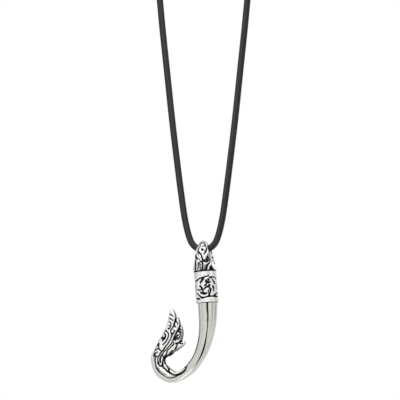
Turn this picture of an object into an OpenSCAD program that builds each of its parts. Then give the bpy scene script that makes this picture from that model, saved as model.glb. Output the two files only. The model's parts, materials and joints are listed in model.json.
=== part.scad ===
// A carved fish-hook pendant in cast steel on a plain round leather cord.
// The cord's loop hangs in the XZ plane: X runs to the right, Y away from the viewer, Z up.
// The origin is the underside of the clasp, where the loop rests on the back of the neck.

/* [Cord and clasp] */
// Diameter of the leather cord
cord_d = 3; // [2.6:0.1:3.2]
// Height of the origin above the middle of the cord's lowest point
hang_drop = 230; // [222:1:240]
// Length of the barrel clasp
clasp_len = 16; // [13:0.5:20]
// Diameter of the barrel clasp
clasp_d = 5; // [4.4:0.1:7]
// Depth of the socket round each end of the cord
socket_depth = 5; // [3:0.5:6]

/* [Bail] */
// Widest diameter of the bail
bail_d = 10.9; // [10.4:0.1:11.8]
// Height of the bail above the collar
bail_h = 15.3; // [14.8:0.1:16.5]
// Height of the cord's middle above the collar
eye_rise = 10.7; // [10.4:0.1:11]
// Radius of the round roof of the cord's tunnel
eye_r = 3; // [2.95:0.05:3.1]
// Room between the cord and the middle of the tunnel's roof
eye_room = 1.15; // [1.1:0.05:1.3]
// Height of the raised relief on the bail
bail_relief = 0.35; // [0.2:0.05:0.5]
// Width of the raised rim along each side of the tunnel
rim_w = 0.9; // [0.6:0.1:1.2]

/* [Collar] */
// Diameter of the collar
collar_d = 11; // [10:0.1:12]
// Height of the collar
collar_h = 15.1; // [13:0.1:17]
// Height of the collar's upper plain band
upper_band = 2.9; // [2:0.1:4]
// Height of the collar's lower plain band
lower_band = 2.6; // [2:0.1:4]
// Depth of the field that the scrolls stand in
field_depth = 0.45; // [0.3:0.05:0.6]
// Scroll motifs around the collar
motifs = 4; // [3:1:5]

/* [Hook] */
// Width from the collar's axis to the outside of the bend
hook_w = 30.2; // [28:0.1:33]
// Height from the collar's underside to the bottom of the bend
hook_h = 37.4; // [35:0.1:40]
// Width of the shank under the collar
shank_w = 9.5; // [8.5:0.1:10.5]
// Depth of the shank under the collar, front to back
shank_t = 7.2; // [6.4:0.1:8]
// Width of the groove along the shank's face
groove_w = 0.9; // [0.6:0.1:1.2]
// Width of the carved lines on the head
carve_w = 0.5; // [0.4:0.05:0.7]
// Depth of the carved lines on the head
carve_depth = 0.45; // [0.3:0.05:0.6]

/* [Fits] */
// Diameter of the round tenons that hold the collar, bail and shank together
tenon_d = 6; // [5:0.1:6.4]
// Length of the tenon at the bail's foot
bail_tenon = 3; // [2:0.1:4]
// Length of the tenon at the shank's top
shank_tenon = 8; // [5:0.1:9]
// Gap between seated pieces
fit_gap = 0.05; // [0.03:0.01:0.1]
// Lean of the hanging pendant, its top to the left
lean = 4.2; // [0:0.1:6]

/* [Hidden] */
round_fn = 72;
collar_top = -eye_rise;
collar_foot = collar_top - collar_h;
eye_centre = cord_d / 2 + eye_room - eye_r;
clasp_z = clasp_d / 2;
// Length that a cut or a cut-off end runs past the face that it makes
spare = 1;
// Turn of the collar's first motif from the front
motif_turn = 15;

// Half of the cord's route from its lowest point upwards, each row with
// x, the height above the lowest point and the number of steps to the next row.
cord_route = [
    [0, 0, 1], [2.3, 0.4, 1], [4.3, 1.6, 1], [5.9, 3.4, 1], [7, 5.7, 1], [8.2, 9.6, 1],
    [9.6, 16, 1], [10.9, 24.4, 2], [13, 40, 3], [15.9, 63.4, 3], [18.6, 88, 3], [21.2, 112, 4],
    [23.6, 138, 4], [25.8, 165, 4], [27.4, 192, 2], [26, 208, 2], [22, 221, 2], [15.5, 229.5, 1]
];
cord_sides = 8;

// The bail's outline: share of its height above the foot, share of its widest radius.
bail_rows = [
    [0, 0.96], [0.05, 1], [0.21, 0.99], [0.34, 0.957], [0.47, 0.904], [0.587, 0.826], [0.698, 0.713],
    [0.776, 0.583], [0.861, 0.435], [0.92, 0.322], [0.972, 0.174], [1, 0.06]
];
// The tunnel below its round roof: share of the way down to the collar, share of the roof's radius.
tunnel_rows = [[0, 1], [0.12, 1.06], [0.44, 1.06], [0.64, 0.96], [0.78, 0.7], [0.86, 0.34]];

// The shank: across and down in percent of the hook's width and height, half width and half depth
// in percent of the shank's, the groove's place in percent of the half width towards the
// outside of the bend, and its depth in percent of the shank's depth.
shank_rows = [
    [-0.5, 0, 50, 50, 12, 7], [1.3, 22, 45, 49, 21, 7], [4.8, 39, 39, 46.5, 25, 6], [10.4, 54.5, 33, 44, 36, 5],
    [17, 65.5, 29.5, 41.5, 46, 4], [25, 74.5, 27.5, 39.5, 46, 0], [38, 85, 26, 37.5, 38, -2],
    [53, 92.2, 23, 35.5, 20, -2], [65, 94.7, 21, 34, 0, -2], [75, 94, 19, 32.5, 0, -1],
    [85.8, 89, 17, 30.5, 0, 0], [93, 81.2, 14.5, 28, 0, 0], [96.2, 71.8, 12, 23.5, 0, 0],
    [96.7, 63.8, 9, 18, 0, 0], [95.7, 56.8, 3.5, 8, 0, 0], [94.7, 54.2, 1, 2.5, 0, 0]
];

// The head's leaves: across and down in percent of the hook's width and height,
// half width and half depth in percent of the shank's.
stem_rows = [
    [60, 91, 3, 28], [69, 89.3, 9, 36], [76, 86, 15, 40], [80, 81.5, 22, 41], [84, 76.5, 27, 42], [85.5, 68, 29, 43.5], [81.5, 59.5, 41, 44.5],
    [73, 52.5, 52, 43], [66, 43, 47, 39], [61, 34, 44, 32], [59, 27, 34, 24], [58, 22, 16, 11]
];
feather_1 = [
    [70, 39, 25, 31], [64.6, 28.7, 24, 30.5], [61.3, 19, 21, 26.5], [59.8, 11, 16, 19.5],
    [60.8, 5.5, 5.5, 8.5], [61.3, 4, 1, 3]
];
feather_2 = [
    [62.3, 41, 23, 35], [55.6, 31, 20, 33], [52.3, 23.5, 14.5, 26.5], [50.7, 17.5, 6.5, 14], [50.5, 15.5, 1, 4]
];
feather_3 = [
    [65, 56, 22, 39], [57.5, 48.5, 26, 39.5], [51, 41, 24, 37.5], [47.7, 34, 18, 30.5], [45.4, 29.8, 6.5, 16.5], [44.9, 27.9, 1, 4]
];
barb_rows = [
    [70, 57.5, 24, 41], [58, 53.5, 23, 36.5], [49.5, 51, 18, 29], [43.8, 49.8, 11, 19],
    [41.2, 49.3, 5.5, 10], [40.4, 49.2, 2, 5]
];
outer_leaf = [
    [58.9, 92.2, 1.5, 22], [67.5, 91, 8.5, 40], [76.2, 88, 13.5, 43], [84, 82.5, 16, 44.5],
    [89.3, 74, 15, 43], [90.4, 66, 11.5, 36], [88.7, 60, 3, 17]
];
inner_leaf = [
    [42.9, 80, 1.2, 17], [48.7, 84.4, 7, 35], [55, 88, 9, 40], [61.6, 88.6, 9.5, 41.5],
    [67.5, 85.7, 10, 41.5], [73, 81.5, 9.5, 40], [78.5, 76, 8, 37], [82, 70, 5, 28]
];
leaves = [stem_rows, feather_1, feather_2, feather_3, barb_rows, outer_leaf, inner_leaf];

// The head's carved lines, each a row of places in percent of the hook's width and height.
carved_lines = [
    [[53, 15.5], [55, 20], [57, 23.5], [58.5, 26.5], [61.5, 29.5], [64.5, 32], [64.5, 35], [62.5, 37], [58, 35], [58.5, 33]],
    [[47.5, 27], [50, 30.5], [53.5, 33.5], [55.5, 37], [58.5, 41.5], [62.5, 45.5]],
    [[63.5, 38], [63.5, 41], [66.5, 45], [71.5, 49.5], [77.5, 54.5], [81, 60]],
    [[73, 32], [69, 34.5], [68, 38.5], [70, 42], [73.5, 46], [80, 50.5]],
    [[76, 35.5], [73.5, 38], [74.5, 40.5], [78.5, 44]],
    [[66, 20.5], [63.5, 24], [65, 28.5]],
    [[64, 11], [59, 15]], [[65, 16.5], [59.5, 20]], [[55, 20.5], [52, 25]], [[58.5, 26.5], [56, 29.5]],
    [[49.5, 29.5], [46, 32.5]], [[52.5, 34], [47, 38]], [[56, 41], [51, 40], [49, 43]],
    [[46, 46], [52.5, 49], [58, 53]], [[44.5, 51], [51.5, 49.5]],
    [[85.5, 45.5], [86.5, 53.5], [83.5, 57]], [[92, 52], [87, 49]], [[94, 57.5], [89.5, 55.5], [86, 56]],
    [[59, 44.5], [67.5, 53], [73.5, 58], [76, 64.5], [79, 70.5], [81, 77]],
    [[56.5, 47.5], [64.5, 55], [69, 59], [71.5, 65]],
    [[77.5, 55.5], [83.5, 65], [85, 73]],
    [[91.5, 63], [88, 59], [84.5, 58.5]],
    [[90, 77], [83, 79.5], [75, 85.5], [69, 88.5]]
];

// The scroll motif on the collar, ribbons as rows of x and height in percent of the field's
// height from its middle, and width in percent of that height.
scroll_ribbons = [
    [[2, 44, 5], [-19, 33, 13], [-27, 13, 14], [-20, 2, 10], [-4, 9, 4]],
    [[-25, -16, 5], [-9, -13, 12], [5, -6, 12], [16, -10, 10], [17, -28, 7], [11, -39, 3]],
    [[-36, -24, 4], [-26, -40, 9], [0, -45, 10], [24, -44, 4]],
    [[13, 43, 4], [28, 31, 11], [33, 5, 12], [30, -24, 10], [21, -37, 4]],
    [[1, 21, 4], [11, 23, 6], [17, 30, 3]]
];

// The figure on each face of the bail: outlines in percent of its widest diameter from the axis,
// and of its height above the foot.
bird_outline = [
    [1, 85], [12, 83], [17, 76], [17, 66], [11, 60], [18, 56], [12, 41], [5, 40], [1, 49], [-5, 60], [-12, 69], [-12, 78]
];
wing_outline = [[-17, 66], [-9, 59], [-3, 49], [-2, 39], [-11, 37], [-18, 46]];
bird_eye = [3.5, 72];
bead_row = [[-10, 33], [4, 33.5], [16, 33.5], [27, 33]];
petal_top = 29;
petal_foot = 5;

// Smooths a list of rows: every column follows a curve through the given rows.
function between(a, b, c, d, t) =
    b + t / 2 * ((c - a) + t * ((2 * a - 5 * b + 4 * c - d) + t * (3 * b - 3 * c + d - a)));
function smooth(rows, steps) =
    let (last = len(rows) - 1)
    concat([
        for (i = [0 : last - 1], s = [0 : steps - 1])
            between(rows[max(i - 1, 0)], rows[i], rows[i + 1], rows[min(i + 2, last)], s / steps)
    ], [rows[last]]);

// Direction along a list of [x, z, ...] rows at one of them, as a unit vector.
function heading(rows, i) =
    let (
        a = rows[max(i - 1, 0)],
        b = rows[min(i + 1, len(rows) - 1)],
        d = [b[0] - a[0], b[1] - a[1]]
    ) d / norm(d);

// A closed solid through rings of points, all with the same number of points.
module loft(rings) {
    n = len(rings[0]);
    m = len(rings);
    polyhedron(
        points = [for (r = rings) each r],
        faces = concat(
            [[for (j = [0 : n - 1]) j]],
            [
                for (i = [0 : m - 2], j = [0 : n - 1])
                    let (a = i * n + j, b = i * n + (j + 1) % n)
                    each [[a, a + n, b + n], [a, b + n, b]]
            ],
            [[for (j = [n - 1 : -1 : 0]) (m - 1) * n + j]]
        )
    );
}

// A place on the hook from its percent across and down.
function hook_x(across) = -across * hook_w / 100;
function hook_z(down) = collar_foot - down * hook_h / 100;

// Depth of a rounded section at a share x of its half width.
function bulge(x, power) = pow(max(1 - pow(abs(x), power), 0), 1 / power);

// Puts the pendant, drawn upright with the cord's middle at its origin, where it hangs.
module hung() {
    translate([0, 0, -hang_drop]) rotate([0, -lean, 0]) children();
}

module cord() {
    half = concat(
        [
            for (i = [0 : len(cord_route) - 2], s = [0 : cord_route[i][2] - 1])
                let (
                    r = cord_route,
                    p = between(
                        i == 0 ? [-r[1][0], r[1][1], 0] : r[i - 1],
                        r[i], r[i + 1], r[min(i + 2, len(r) - 1)], s / r[i][2]
                    )
                ) [p[0], p[1] - hang_drop]
        ],
        [
            [cord_route[len(cord_route) - 1][0], cord_route[len(cord_route) - 1][1] - hang_drop],
            [clasp_len / 2, clasp_z],
            [clasp_len / 2 - socket_depth + fit_gap, clasp_z]
        ]
    );
    whole = concat([for (i = [len(half) - 1 : -1 : 1]) [-half[i][0], half[i][1]]], half);
    color("#2b2a2a") loft([
        for (i = [0 : len(whole) - 1])
            let (d = i == 0 || i == len(whole) - 1 ? [-1, 0] : heading(whole, i))
            [
                for (j = [0 : cord_sides - 1])
                    let (a = 360 * (j + 0.5) / cord_sides, out = cord_d / 2 * cos(a))
                    [whole[i][0] - d[1] * out, -cord_d / 2 * sin(a), whole[i][1] + d[0] * out]
            ]
    ]);
}

module clasp() {
    socket_d = cord_d + 2 * fit_gap;
    color("#b9b9b6") translate([0, 0, clasp_z]) rotate([0, 90, 0]) difference() {
        rotate_extrude($fn = round_fn) polygon([
            [0, -clasp_len / 2], [clasp_d / 2 - 0.4, -clasp_len / 2], [clasp_d / 2, -clasp_len / 2 + 0.4],
            [clasp_d / 2, clasp_len / 2 - 0.4], [clasp_d / 2 - 0.4, clasp_len / 2], [0, clasp_len / 2]
        ]);
        for (s = [-1, 1])
            translate([0, 0, s * (clasp_len / 2 - socket_depth / 2 + 0.5)])
                cylinder(d = socket_d, h = socket_depth + 1, center = true, $fn = round_fn);
    }
}

// The bail's round body, with its surface moved out by grow.
module bail_body(grow) {
    translate([0, 0, collar_top + fit_gap]) rotate_extrude($fn = round_fn) polygon(concat(
        [[0, 0]],
        [for (r = bail_rows) [r[1] * bail_d / 2 + grow, r[0] * (bail_h + grow - fit_gap)]],
        [[0, bail_h + grow - fit_gap]]
    ));
}

// The cord's tunnel through the bail, with its walls moved out by grow.
module tunnel(grow) {
    down = eye_rise + eye_centre;
    side = [for (r = tunnel_rows) [r[1] * eye_r + grow, eye_centre - r[0] * down - (r[0] > 0.8 ? grow : 0)]];
    rotate([0, 0, 90]) rotate([90, 0, 0]) linear_extrude(bail_d * 2, center = true)
        polygon(concat(side, [for (i = [len(side) - 1 : -1 : 0]) [-side[i][0], side[i][1]]]));
    translate([0, 0, eye_centre]) rotate([0, 90, 0])
        cylinder(r = eye_r + grow, h = bail_d * 2, center = true, $fn = round_fn);
}

// The raised figure on one face of the bail, as a flat pattern.
module bail_figure() {
    function place(p) = [p[0] * bail_d / 100, collar_top + p[1] * bail_h / 100];
    difference() {
        polygon([for (p = bird_outline) place(p)]);
        translate(place(bird_eye)) circle(r = 0.035 * bail_d, $fn = 24);
    }
    polygon([for (p = wing_outline) place(p)]);
    for (p = bead_row) translate(place(p)) circle(r = 0.04 * bail_d, $fn = 24);
    for (i = [-2 : 2]) polygon([
        for (p = [[-3, 0], [-5.5, 0.45], [-4.5, 0.8], [0, 1], [4.5, 0.8], [5.5, 0.45], [3, 0]])
            place([p[0] + i * (11.5 + 3.5 * p[1]), petal_foot + p[1] * (petal_top - petal_foot)])
    ]);
}

module bail() {
    color("#c4c4c2") hung() {
        difference() {
            union() {
                bail_body(0);
                intersection() {
                    bail_body(bail_relief);
                    tunnel(rim_w);
                }
                for (s = [-1, 1]) intersection() {
                    bail_body(bail_relief);
                    translate([0, s * bail_d / 2, 0]) rotate([90, 0, 0])
                        linear_extrude(bail_d - 2 * eye_r, center = true) bail_figure();
                }
            }
            rotate([0, lean, 0]) tunnel(0);
        }
        translate([0, 0, collar_top - bail_tenon])
            cylinder(d = tenon_d - 2 * fit_gap, h = bail_tenon + 1, $fn = round_fn);
    }
}

// A ribbon of changing width along rows of x, y and width.
module ribbon(rows) {
    r = smooth(rows, 2);
    side = [
        for (s = [1, -1])
            [for (i = [0 : len(r) - 1])
                let (d = heading(r, i)) [r[i][0] - s * d[1] * r[i][2] / 2, r[i][1] + s * d[0] * r[i][2] / 2]]
    ];
    polygon(concat(side[0], [for (i = [len(r) - 1 : -1 : 0]) side[1][i]]));
}

module collar() {
    radius = collar_d / 2;
    field_top = collar_top - upper_band;
    field_foot = collar_foot + lower_band;
    field_h = field_top - field_foot;
    line_z = collar_foot + lower_band / 2;
    color("#b4b4b1") hung() {
        difference() {
            rotate_extrude($fn = round_fn) polygon([
                [0, collar_foot], [radius - 0.3, collar_foot], [radius, collar_foot + 0.3],
                [radius, line_z - 0.15], [radius - 0.12, line_z], [radius, line_z + 0.15],
                [radius, field_foot - 0.2], [radius - field_depth, field_foot],
                [radius - field_depth, field_top], [radius, field_top + 0.2],
                [radius, collar_top - 0.3], [radius - 0.3, collar_top], [0, collar_top]
            ]);
            translate([0, 0, collar_top - bail_tenon - 0.3])
                cylinder(d = tenon_d, h = bail_tenon + 1, $fn = round_fn);
            translate([0, 0, collar_foot - 1])
                cylinder(d = tenon_d, h = shank_tenon + 1.3, $fn = round_fn);
        }
        intersection() {
            translate([0, 0, field_foot - 0.1]) difference() {
                cylinder(r = radius - 0.05, h = field_h + 0.2, $fn = round_fn);
                translate([0, 0, -1]) cylinder(r = radius - field_depth - 0.2, h = field_h + 2.2, $fn = round_fn);
            }
            for (i = [0 : motifs - 1])
                rotate([0, 0, motif_turn + 360 * i / motifs])
                    translate([0, -radius, (field_top + field_foot) / 2]) rotate([90, 0, 0])
                        linear_extrude(radius * 0.8, center = true)
                            for (r = scroll_ribbons) ribbon([for (p = r) p * field_h / 100]);
        }
    }
}
// Points round the shank at one row: [x, z, half width, half depth, groove place, groove depth].
function shank_ring(r, d, grow) =
    let (
        edge = 0.94,
        g = min(groove_w / 2 / max(r[2], 0.1), 0.3),
        line = r[4],
        front = [
            1, edge, edge * 0.55 + (line + g) * 0.45, line + g, line, line - g,
            (line - g) * 0.6 - edge * 0.4, (line - g) * 0.25 - edge * 0.75, -edge, -1
        ],
        face = [for (i = [0 : len(front) - 1]) [
            front[i] * (r[2] + grow),
            bulge(front[i], 2.4) * (r[3] + grow) - (i == 4 ? r[5] : 0)
        ]],
        n = len(face)
    ) [
        for (i = [0 : 2 * n - 3])
            let (p = i < n ? face[i] : face[2 * n - 2 - i], s = i < n ? -1 : 1)
            [r[0] - d[1] * p[0], s * p[1], r[1] + d[0] * p[0]]
    ];

module shank_loft(grow) {
    rows = smooth([
        for (r = shank_rows) [
            hook_x(r[0]), hook_z(r[1]) + (r[1] == 0 ? spare : 0), r[2] * shank_w / 100, r[3] * shank_t / 100,
            r[4] / 100, r[5] * shank_t / 100
        ]
    ], 3);
    loft([for (i = [0 : len(rows) - 1]) shank_ring(rows[i], i == 0 ? [0, -1] : heading(rows, i), grow)]);
}

module hook_shank() {
    color("#a9a8a4") hung() {
        difference() {
            shank_loft(0);
            translate([0, 0, collar_foot - fit_gap + spare]) cube([2 * shank_w, 2 * shank_t, 2 * spare], center = true);
        }
        translate([0, 0, collar_foot - 1])
            cylinder(d = tenon_d - 2 * fit_gap, h = shank_tenon + 1, $fn = round_fn);
    }
}

// One leaf of the head, its surface moved in by cut.
module leaf(table, cut) {
    sides = 12;
    rows = smooth([
        for (r = table) [hook_x(r[0]), hook_z(r[1]), r[2] * shank_w / 100, r[3] * shank_t / 100]
    ], 2);
    loft([
        for (i = [0 : len(rows) - 1])
            let (r = rows[i], d = heading(rows, i), w = max(r[2] - cut * 0.7, 0.05), t = max(r[3] - cut, 0.05))
            [
                for (j = [0 : sides - 1])
                    let (a = 360 * (j + 0.5) / sides, out = w * cos(a) / cos(180 / sides))
                    [r[0] - d[1] * out, -t * sin(a), r[1] + d[0] * out]
            ]
    ]);
}

// One carved line, as a solid that runs through the head from front to back.
module carved_line(places) {
    rotate([90, 0, 0]) linear_extrude(2 * shank_t, center = true)
        ribbon([for (p = places) [hook_x(p[0]), hook_z(p[1]), carve_w]]);
}

module barb_head() {
    color("#d0d0ce") hung() difference() {
        union() {
            for (t = leaves) leaf(t, carve_depth);
            difference() {
                union() for (t = leaves) leaf(t, 0);
                for (c = carved_lines) carved_line(c);
            }
        }
        shank_loft(fit_gap);
    }
}

cord();
clasp();
bail();
collar();
hook_shank();
barb_head();
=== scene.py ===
# Looks of a carved fish-hook pendant on a plain leather cord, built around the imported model.
# Tables of shape are in millimetres, degrees or percent, in the pendant's own upright frame, whose
# zero is the middle of the cord's lowest point. Meshes are in metres, in the frame of the model.
import json
import math
import bpy
import numpy as np
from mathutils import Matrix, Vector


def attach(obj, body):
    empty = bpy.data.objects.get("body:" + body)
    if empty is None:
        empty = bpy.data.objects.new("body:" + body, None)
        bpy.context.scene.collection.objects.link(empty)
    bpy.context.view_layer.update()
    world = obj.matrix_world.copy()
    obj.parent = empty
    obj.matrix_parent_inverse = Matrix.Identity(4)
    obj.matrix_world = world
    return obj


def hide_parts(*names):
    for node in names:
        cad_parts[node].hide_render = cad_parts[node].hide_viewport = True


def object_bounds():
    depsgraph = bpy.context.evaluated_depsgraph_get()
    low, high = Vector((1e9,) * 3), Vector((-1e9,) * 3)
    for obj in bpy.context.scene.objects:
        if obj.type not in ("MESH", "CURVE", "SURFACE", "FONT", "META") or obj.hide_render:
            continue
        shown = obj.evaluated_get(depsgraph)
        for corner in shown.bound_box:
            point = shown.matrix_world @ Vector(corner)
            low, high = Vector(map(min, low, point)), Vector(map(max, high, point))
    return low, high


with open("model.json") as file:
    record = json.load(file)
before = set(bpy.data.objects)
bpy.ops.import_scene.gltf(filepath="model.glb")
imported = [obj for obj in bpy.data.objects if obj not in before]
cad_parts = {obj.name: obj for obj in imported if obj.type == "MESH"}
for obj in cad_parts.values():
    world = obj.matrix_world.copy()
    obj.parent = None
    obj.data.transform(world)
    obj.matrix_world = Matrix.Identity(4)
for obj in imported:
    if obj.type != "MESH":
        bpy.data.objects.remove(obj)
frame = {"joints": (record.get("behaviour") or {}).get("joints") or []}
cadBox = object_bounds()
print("frame loaded")

mm = 0.001  # metres
hinge = np.array(frame["joints"][0]["pos_m"]) / mm

pendant = {
    "lean": 4.2,  # degrees, the top to the left
    "viewTurn": 15.0,  # degrees from the front to the side that the photograph shows
    "viewRise": -5.0,  # degrees, seen from a little below
    "collarTop": -10.7,  # height of the collar's top, and of the bail's foot
    "collarFoot": -25.8,  # and of its foot, where the hook begins
    "hookWidth": 30.2,
    "hookHeight": 37.4,
    "shankWidth": 9.5,  # from side to side, under the collar
    "shankDepth": 7.2,
    "tenonRadius": 2.95,
    "tenonAround": 96,
    "pole": 0.02,  # radius of the last ring about the axis, which a fan of triangles closes
    "seatGap": 0.05,
}


# Places of the pendant's frame, turned by its lean and moved to the hinge, in metres.
def hang(x, y, z):
    lean = math.radians(pendant["lean"])
    across = x * math.cos(lean) - z * math.sin(lean)
    up = x * math.sin(lean) + z * math.cos(lean)
    return (np.stack(np.broadcast_arrays(across, y, up), -1) + hinge) * mm


# A curve through every row, at count even places: a cubic between two rows, with half the step
# between their neighbours as its slope at each.
def through(rows, count):
    rows = np.asarray(rows, float)
    last = len(rows) - 1
    t = np.linspace(0, last, count)
    i = np.minimum(t.astype(int), last - 1)
    t = (t - i)[:, None]
    a, b, c, d = (rows[np.clip(i + k, 0, last)] for k in (-1, 0, 1, 2))
    return b + t / 2 * (c - a + t * (2 * a - 5 * b + 4 * c - d + t * (3 * b - 3 * c + d - a)))


# A ramp from 0 to 1 with level ends.
def ease(x):
    x = np.clip(x, 0, 1)
    return x * x * (3 - 2 * x)


# How far along each ray its places are still inside, up to reach, found by halving the stretch.
# inside takes one length for every ray at once.
def edgeAlong(inside, shape, reach, steps=34):
    low, high = np.zeros(shape), np.full(shape, float(reach))
    for _ in range(steps):
        middle = (low + high) / 2
        held = inside(middle)
        low, high = np.where(held, middle, low), np.where(held, high, middle)
    return low


# Signed distance from places to the nearest stroke's edge, below zero inside it. A stroke is a curve
# through rows of u, v and width: the distance to its line less half its width there. fine is the
# number of steps between two rows, and farther than reach from every stroke the distance isn't found.
def strokeEdge(u, v, strokes, broad=1.0, fine=4, reach=2.0):
    edge = np.full(u.shape, reach)
    for stroke in strokes:
        line = through(stroke, (len(stroke) - 1) * fine + 1)
        half = line[:, 2].max() / 2 + reach
        near = (u > line[:, 0].min() - half) & (u < line[:, 0].max() + half)
        near &= (v > line[:, 1].min() - half) & (v < line[:, 1].max() + half)
        pu, pv = u[near][:, None], v[near][:, None]
        a, b = line[:-1], line[1:]
        du, dv = b[:, 0] - a[:, 0], b[:, 1] - a[:, 1]
        t = ((pu - a[:, 0]) * du + (pv - a[:, 1]) * dv) / np.maximum(du * du + dv * dv, 1e-9)
        t = np.clip(t, 0, 1)
        away = np.hypot(pu - a[:, 0] - t * du, pv - a[:, 1] - t * dv)
        away -= (a[:, 2] + t * (b[:, 2] - a[:, 2])) / 2 * broad
        edge[near] = np.minimum(edge[near], away.min(1))
    return edge


# How far a carved surface lies below its full height, in shares of the carving's depth, and how
# black it is: a groove with sloping walls, and shoulders that round down towards it.
def carved(edge, style):
    floor = ease(-edge / style["wall"])
    shoulder = style["shoulder"] * np.exp(-np.maximum(edge, 0) / style["roundness"])
    black = ease((style["bleed"] - edge) / style["fade"])
    smudge = style["smudge"] * np.exp(-np.maximum(edge, 0) / style["smudgeWidth"])
    return np.clip(floor + shoulder * (1 - floor), 0, 1), np.maximum(black, smudge)


# The faces of a surface on a grid of rings, closed around, and from the last ring to the first
# or by a fan of triangles on the middle of each end. A negative volume turns them to face outwards.
def shell(grid, black=0.0, joinEnds=False):
    rings, around = grid.shape[:2]
    black = np.broadcast_to(black, (rings, around))
    i = np.arange(rings if joinEnds else rings - 1)[:, None]
    j = np.arange(around)[None, :]
    di, dj = (i + 1) % rings * around, (j + 1) % around
    quads = np.stack([i * around + j, i * around + dj, di + dj, di + j], -1).reshape(-1, 4)
    points, shade = grid.reshape(-1, 3), black.reshape(-1)
    tris = np.zeros((0, 3), int)
    if not joinEnds:
        points = np.vstack([points, grid[0].mean(0), grid[-1].mean(0)])
        shade = np.append(shade, [black[0].mean(), black[-1].mean()])
        j, dj = j[0], dj[0]
        last = (rings - 1) * around
        first = np.stack([np.full(around, rings * around), dj, j], -1)
        final = np.stack([np.full(around, rings * around + 1), last + j, last + dj], -1)
        tris = np.vstack([first, final])
    corner = points - points.mean(0)
    a, b, c = corner[quads[:, 0]], corner[quads[:, 1]], corner[quads[:, 2]]
    d = corner[quads[:, 3]]
    volume = (np.cross(a, b) * c).sum() + (np.cross(a, c) * d).sum()
    if volume < 0:
        quads, tris = quads[:, ::-1], tris[:, ::-1]
    return {"points": points, "black": shade, "quads": quads, "tris": tris}


# One mesh object from shells, with the blackening of each point in a point attribute: patina in the
# carving, painted shade, and painted highlight below zero.
def meshPiece(name, shells):
    points = np.vstack([s["points"] for s in shells])
    starts = np.cumsum([0] + [len(s["points"]) for s in shells])
    quads = np.vstack([s["quads"] + o for s, o in zip(shells, starts)])
    tris = np.vstack([s["tris"] + o for s, o in zip(shells, starts)])
    sizes = np.concatenate([np.full(len(quads), 4), np.full(len(tris), 3)])
    corners = np.concatenate([quads.ravel(), tris.ravel()])
    mesh = bpy.data.meshes.new(name)
    mesh.vertices.add(len(points))
    mesh.vertices.foreach_set("co", points.astype(np.float32).ravel())
    mesh.loops.add(len(corners))
    mesh.loops.foreach_set("vertex_index", corners.astype(np.int32))
    mesh.polygons.add(len(sizes))
    mesh.polygons.foreach_set("loop_start", np.append(0, np.cumsum(sizes)[:-1]).astype(np.int32))
    mesh.polygons.foreach_set("use_smooth", np.ones(len(sizes), bool))
    mesh.update(calc_edges=True)
    mesh.validate()
    patinaAndPaintedLight = mesh.attributes.new("patinaAndPaintedLight", "FLOAT", "POINT")
    patinaAndPaintedLight.data.foreach_set("value", np.concatenate([s["black"] for s in shells]).astype(np.float32))
    piece = bpy.data.objects.new(name, mesh)
    bpy.context.scene.collection.objects.link(piece)
    return piece


# A map named along: u goes from 0 to halfTurn and back around a shell, so it has no seam, and v
# grows by ringStep from ring to ring.
def mapAlong(mesh, around, halfTurn, ringStep):
    corner = np.zeros(len(mesh.loops), np.int32)
    mesh.loops.foreach_get("vertex_index", corner)
    u = np.abs(corner % around / around * 2 - 1) * halfTurn
    v = corner // around * ringStep
    places = np.stack([u, v], -1).astype(np.float32)
    mesh.uv_layers.new(name="along").data.foreach_set("uv", places.ravel())


# Angles of count even places around, the first at a share of a step.
def angles(count, start=0.0):
    return (np.arange(count) + start) / count * 2 * np.pi


# A round tenon about the pendant's axis between two heights, closed at both ends: the radius times
# the angle's cosine across, and times its sine in depth.
def tenon(low, high):
    pole, radius = pendant["pole"], pendant["tenonRadius"]
    z, r = (np.array(c)[:, None] for c in ((low, low, high, high), (pole, radius, radius, pole)))
    a = angles(pendant["tenonAround"])
    return shell(hang(r * np.cos(a), r * np.sin(a), z))


# Shares of a rounded section's half width and half depth at angles around it: the angle's cosine
# and sine, each to a power of 2 over the squareness, where 2 gives an ellipse.
def roundedShares(a, squareness):
    return (np.sign(f) * np.abs(f) ** (2 / squareness) for f in (np.cos(a), np.sin(a)))


def grey(tone):
    return (tone, tone, tone, 1.0)


# Puts a value or another node's output into each named socket of a node.
def feed(node, settings):
    for name, value in settings.items():
        if isinstance(value, bpy.types.NodeSocket):
            node.id_data.links.new(value, node.inputs[name])
        else:
            node.inputs[name].default_value = value
    return node


def newNode(nodes, kind, settings, **traits):
    node = nodes.new(kind)
    for name, value in traits.items():
        setattr(node, name, value)
    return feed(node, settings)


def newMaterial(name):
    material = bpy.data.materials.new(name)
    material.use_nodes = True
    return material, material.node_tree.nodes


# A noise pattern; stretch is the share of its fineness that it has along the second coordinate.
def noise(nodes, coordinates, scale, detail=3.0, stretch=None, rough=0.55):
    if stretch:
        mapped = newNode(nodes, "ShaderNodeMapping", {"Vector": coordinates, "Scale": (1.0, stretch, 1.0)})
        coordinates = mapped.outputs["Vector"]
    settings = {"Vector": coordinates, "Scale": scale, "Detail": detail, "Roughness": rough}
    return newNode(nodes, "ShaderNodeTexNoise", settings).outputs["Fac"]


# Stretches a range of values to another and stops at its ends: from low and high, to low and high.
def remap(nodes, value, ranges):
    low, high, toLow, toHigh = ranges
    settings = {"Value": value, "From Min": low, "From Max": high, "To Min": toLow, "To Max": toHigh}
    return newNode(nodes, "ShaderNodeMapRange", settings).outputs["Result"]


def mixColour(nodes, share, first, second):
    colours = {0: share, 6: first, 7: second}  # the sockets that the node uses for colours
    return newNode(nodes, "ShaderNodeMix", colours, data_type="RGBA").outputs[2]


def mathNode(nodes, operation, first, second=0.0):
    return newNode(nodes, "ShaderNodeMath", {0: first, 1: second}, operation=operation).outputs[0]


def bumpNode(nodes, height, strength, distance):
    settings = {"Height": height, "Strength": strength, "Distance": distance}
    return newNode(nodes, "ShaderNodeBump", settings).outputs["Normal"]


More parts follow.
